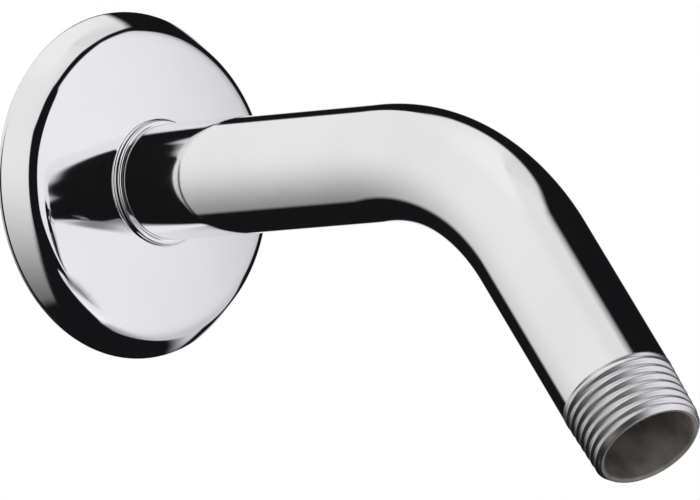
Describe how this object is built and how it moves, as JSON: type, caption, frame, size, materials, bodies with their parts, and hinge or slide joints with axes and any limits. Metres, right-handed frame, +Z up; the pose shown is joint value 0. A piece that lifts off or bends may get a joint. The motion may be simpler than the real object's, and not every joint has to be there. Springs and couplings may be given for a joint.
{
  "type": "shower arm",
  "caption": "Polished chrome shower arm: a bent pipe with a male pipe thread at each end and a round domed wall flange that slides on its straight run.",
  "frame": {"origin": "where the arm's axis crosses the face of the finished wall, at the centre of the flange's rim", "axes": "+X out of the wall along the straight run, +Z up, with the bend in the XZ plane and the outlet pointing down and out"},
  "size_m": [0.1597, 0.0636, 0.0917],
  "materials": {
    "polished_chrome_pipe": "mirror-polished chrome plate on a brass pipe, with a dull unplated bore",
    "polished_chrome_flange": "mirror-polished chrome plate on pressed brass sheet"
  },
  "bodies": {
    "arm": {"shower_arm": "polished_chrome_pipe"},
    "flange": {"wall_flange": "polished_chrome_flange"}
  },
  "joints": [
    {"name": "flange_slide", "type": "slide", "parent": "arm", "child": "flange", "axis": [1, 0, 0], "range_m": [0, 0.058]}
  ]
}
